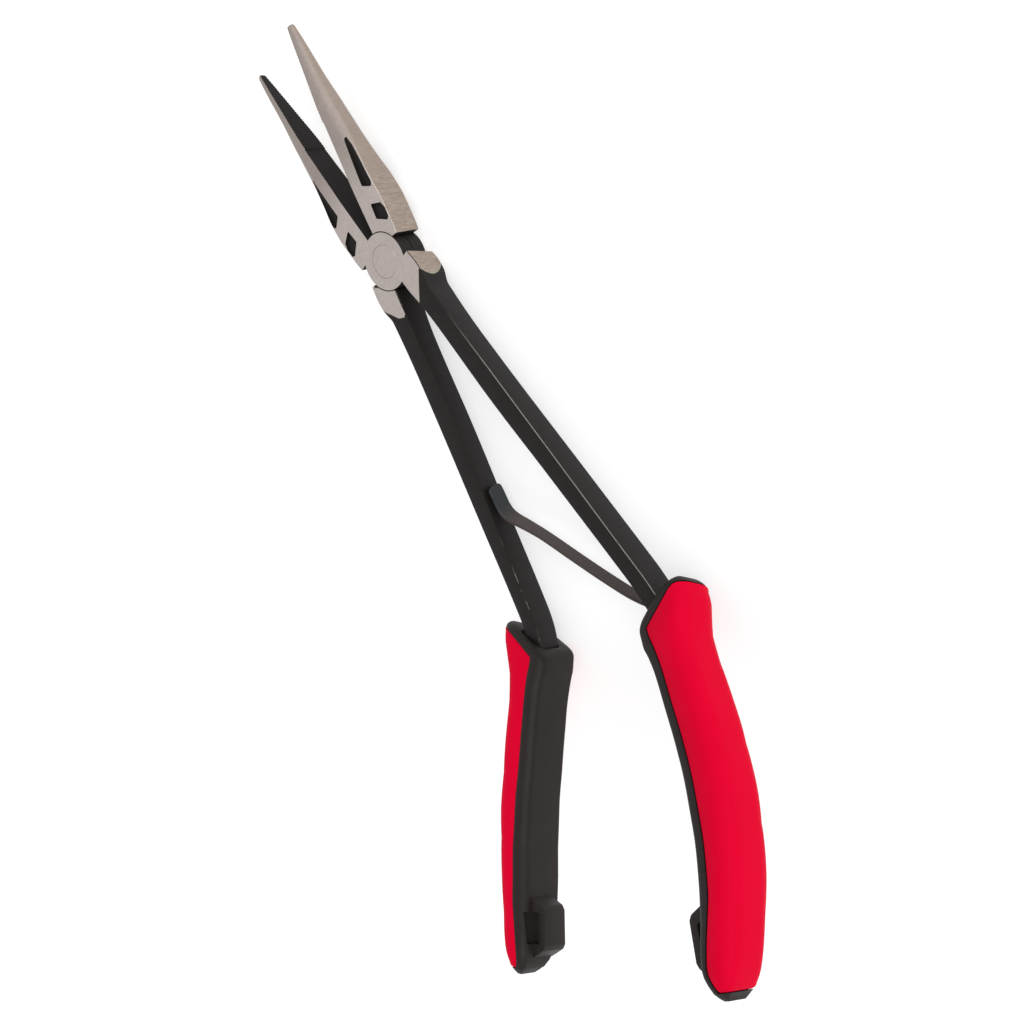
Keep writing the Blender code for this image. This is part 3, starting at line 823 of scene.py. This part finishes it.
def cover_ring(side, row, shrink=0.0):
    """A C-shaped section; shrink draws its faces in, to round the cover's two ends."""
    depth, edge_x = row[4], cover_edge(row)
    level, lip = depth - COVER_THICKNESS, COVER_ROUNDING
    outside = [(edge_x, depth - shrink - lip), (edge_x - lip, depth - shrink)]
    outside += outer_arcs(row, shrink)
    outside += [(edge_x - lip, shrink - depth), (edge_x, shrink + lip - depth)]
    inside = [(edge_x, level)] + outer_arcs(row, COVER_THICKNESS) + [(edge_x, -level)]
    return place_section(side, row, outside + inside[::-1])


def grip_rows(start, end, step):
    """Grip stations between two distances, with shallow waves along the outer side."""
    rows = []
    for row in curve_rows(GRIP_STATIONS, spread(start, end, step)):
        along, pad = row[0], 0.0
        if PADS[0] < along < PADS[1]:
            pad = PAD_HEIGHT * abs(math.sin(math.pi * (along - PADS[0]) / PAD_LENGTH)) ** 0.5
        rows.append((*row[:3], row[3] + PAD_HEIGHT - pad, *row[4:]))
    return rows


def moved(row, distance):
    return (row[0] + distance, *row[1:])


def core_rings(side):
    shift = GRIP_SHIFT[side]
    first, last = GRIP_STATIONS[0][0], GRIP_STATIONS[-1][0]
    top = grip_rows(first, COVER_START, 0.5)
    middle = grip_rows(COVER_START, COVER_END, 1.5)
    bottom = grip_rows(COVER_END, last, 0.4)
    rings = [core_ring(side, moved(row, shift), False) for row in top[:-1]]
    rings.append(core_ring(side, moved(top[-1], shift - COVER_SEAM), False))
    rings.append(core_ring(side, moved(middle[0], shift - COVER_SEAM), True))
    rings += [core_ring(side, moved(row, shift), True) for row in middle[1:-1]]
    rings.append(core_ring(side, moved(middle[-1], shift + COVER_SEAM), True))
    rings.append(core_ring(side, moved(bottom[0], shift + COVER_SEAM), False))
    rings += [core_ring(side, moved(row, shift), False) for row in bottom[1:]]
    return rings


def grip(side, half, core_material, cover_material):
    shift = GRIP_SHIFT[side]
    black = [core_material]
    core = half.loft(f"{side}_grip_core_body", core_rings(side), black)
    low, high = TETHER_CENTRE - TETHER_HALF_WIDTH, TETHER_CENTRE + TETHER_HALF_WIDTH
    outline = rounded(TETHER_OUTLINE, TETHER_CORNER, 3)
    tether = [[grip_point(a + shift, x, d) for a, x in outline] for d in (low, high)]
    combine(core, half.loft("tether", tether, black), "UNION")
    levels = (low - SLOT_REACH[0], high + SLOT_REACH[1])
    outline = rounded(TETHER_SLOT, SLOT_CORNER, 3)
    slot = [[grip_point(a + shift, x, d) for a, x in outline] for d in levels]
    combine(core, half.loft("slot", slot, black), "DIFFERENCE")
    rows = curve_rows(BAR_STATIONS, spread(TANG_START, BAR_STATIONS[-1][0], 2.0))
    tang = [bar_ring(row, TANG_CLEARANCE) for row in rows]
    tang.append([(x, y - 0.4, z + 0.3) for x, y, z in tang[-1]])  # room beyond the bar's end
    combine(core, half.loft("tang", tang, black), "DIFFERENCE")
    rows = curve_rows(BAR_STATIONS, spread(TANG_START, MOUTH_END, 1.5))
    sides = (MOUTH_CLEARANCE, 2 * MOUTH_CLEARANCE)
    mouth = [bar_ring(row, 0.0, MOUTH_CHAMFER, sides) for row in rows]
    combine(core, half.loft("mouth", mouth, black), "DIFFERENCE")
    if side == "right":
        reach = LEAF_HALF_WIDTH + NOTCH_ROOM
        levels = (LEAF_CENTRE_Z - reach, LEAF_CENTRE_Z + reach)
        combine(core, half.prism("notch", SPRING_NOTCH, *levels, black), "DIFFERENCE")
    finish_mesh(core, CORE_BEVEL, 40, 30, 3)
    half.place(core, f"{side}_grip_core")

    rows = grip_rows(COVER_START, COVER_END, 1.2)
    rows.insert(1, curve_rows(GRIP_STATIONS, [COVER_START + COVER_ROUNDING])[0])
    rows.insert(-1, curve_rows(GRIP_STATIONS, [COVER_END - COVER_ROUNDING])[0])
    rings = []
    for i, row in enumerate(rows):
        shrink = COVER_ROUNDING if i in (0, len(rows) - 1) else 0.0
        rings.append(cover_ring(side, moved(row, shift), shrink))
    cover = half.loft(f"{side}_grip_cover_body", rings, [cover_material])
    finish_mesh(cover, 0.0, 40, 50)
    half.place(cover, f"{side}_grip_cover")


# --- Spring and rivets -------------------------------------------------------------------------


def leaf_path():
    """The strip's path, read closely along a smooth curve through its points."""
    points = [Vector(p) for p in LEAF_PATH]
    fine = []
    for i in range(len(points) - 1):
        a, b = points[max(i - 1, 0)], points[i]
        c, d = points[i + 1], points[min(i + 2, len(points) - 1)]
        for k in range(LEAF_STEPS):
            t = k / LEAF_STEPS
            fine.append(
                0.5
                * (
                    2 * b
                    + (c - a) * t
                    + (2 * a - 5 * b + 4 * c - d) * t * t
                    + (3 * b - a - 3 * c + d) * t**3
                )
            )
    return fine + [points[-1]]


def leaf(half, material):
    path = leaf_path()
    lengths = [0.0]
    for a, b in zip(path, path[1:]):
        lengths.append(lengths[-1] + (b - a).length)
    corner = 1.0 - LEAF_EDGE * 1.6  # half width of the narrow edge's flat, in half thicknesses
    rings = []
    for i, point in enumerate(path):
        along = (path[min(i + 1, len(path) - 1)] - path[max(i - 1, 0)]).normalized()
        across = Vector((-along.y, along.x)) * LEAF_THICKNESS / 2
        from_end = min(lengths[-1] - lengths[i], lengths[i] + LEAF_ROOT_START)
        past = 1 - min(from_end / LEAF_END_LENGTH, 1.0)
        tuck = LEAF_END_TUCK * (1 - math.sqrt(max(0.0, 1 - past**2)))
        half_width = LEAF_HALF_WIDTH - tuck
        start, end = LEAF_NARROWS
        share = min(max((point.y - start) / (end - start), 0.0), 1.0)
        narrower = LEAF_NARROWER * share * share * (3 - 2 * share)
        flat = half_width - LEAF_EDGE
        rim = [(1.0, flat), (corner, half_width), (-corner, half_width), (-1.0, flat)]
        section = [(u, w - narrower) for u, w in rim] + [(u, -w) for u, w in rim[::-1]]
        ring = [(*(point + across * u), LEAF_CENTRE_Z + w) for u, w in section]
        rings.append(ring)
    strip = half.loft("leaf_spring_strip", rings, [material])
    finish_mesh(strip, 0.0, 40, 35)
    strip.data.transform(half.matrix)
    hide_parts("leaf_spring")
    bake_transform(strip)


def pivot_rivet(half, material):
    """The rivet, with a shallow chamfer where its ends were ground flush."""
    top, narrow = JOINT_HALF_THICKNESS - RIVET_SINK, RIVET_RADIUS - RIVET_CHAMFER
    profile = [(narrow, -top), (RIVET_RADIUS, RIVET_CHAMFER - top)]
    profile += [(RIVET_RADIUS, top - RIVET_CHAMFER), (narrow, top)]
    rings = [[(x, y, z) for x, y in circle(r, RIVET_SEGMENTS)] for r, z in profile]
    rivet = half.loft("pivot_rivet_body", rings, [material])
    finish_mesh(rivet, 0.0, 40, 30)
    half.place(rivet, "pivot_rivet")


def spring_rivet(half, material):
    """A small domed rivet through the leaf's root, across the bar."""
    (y, z), sides = SPRING_RIVET, SPRING_RIVET_SEGMENTS
    rings = [[(x, y + u, z + v) for u, v in circle(r, sides)] for r, x in SPRING_RIVET_PROFILE]
    rivet = half.loft("spring_rivet_body", rings, [material])
    finish_mesh(rivet, 0.0, 40, 30)
    half.place(rivet, "spring_rivet")


# --- Camera, floor and light -------------------------------------------------------------------


def camera():
    data = bpy.data.cameras.new("camera")
    obj = bpy.data.objects.new("camera", data)
    bpy.context.scene.collection.objects.link(obj)
    right = Vector(CAMERA_RIGHT).normalized()
    back = right.cross(Vector(CAMERA_UP)).normalized()
    matrix = Matrix((right, back.cross(right), back)).transposed().to_4x4()
    matrix.translation = PIVOT + Vector(CAMERA_FROM_PIVOT) * MM
    obj.matrix_world = matrix
    data.sensor_width, data.lens = SENSOR_WIDTH, LENS
    data.clip_start, data.clip_end = CLIP_RANGE
    bpy.context.scene.camera = obj


def sun():
    """A wide, distant soft light."""
    data = bpy.data.lights.new("key", "SUN")
    data.energy = SUN_STRENGTH
    data.angle = math.radians(SUN_ANGLE)
    obj = bpy.data.objects.new("key", data)
    bpy.context.scene.collection.objects.link(obj)
    obj.rotation_euler = (-Vector(SUN_TOWARDS)).to_track_quat("-Z", "Y").to_euler()


def studio():
    bm = bmesh.new()
    bmesh.ops.create_circle(bm, cap_ends=True, segments=64, radius=FLOOR_RADIUS)
    mesh = bpy.data.meshes.new("floor")
    bm.to_mesh(mesh)
    bm.free()
    mesh.materials.append(floor_material())
    floor = bpy.data.objects.new("floor", mesh)
    floor.location.z = FLOOR_Z
    bpy.context.scene.collection.objects.link(floor)
    world = bpy.data.worlds.new("studio")
    bpy.context.scene.world = world
    world.use_nodes = True
    background = world.node_tree.nodes["Background"]
    background.inputs["Color"].default_value = colour(1.0, 1.0, 1.0)
    background.inputs["Strength"].default_value = WORLD_STRENGTH
    sun()
    bpy.context.scene.view_settings.view_transform = "Standard"


def build():
    front, rear = Half("front_half", True), Half("rear_half", False)
    for half, lap_side, highlit_worn_strip in ((front, 1, 3), (rear, -1, 1)):
        materials = [forged(half, PATCHES[half.body]), ground_steel(half)]
        materials += [worn_and_highlit_edge(half), dark_recess(half)]
        body = forged_half(half, lap_side, highlit_worn_strip, materials)
    core_material, cover_material = grip_core(), grip_cover()
    grip("right", front, core_material, cover_material)
    grip("left", rear, core_material, cover_material)
    bright = rivet_steel(front)
    pivot_rivet(front, bright)
    spring_rivet(front, bright)
    leaf(front, spring_steel(front))
    camera()
    studio()


build()
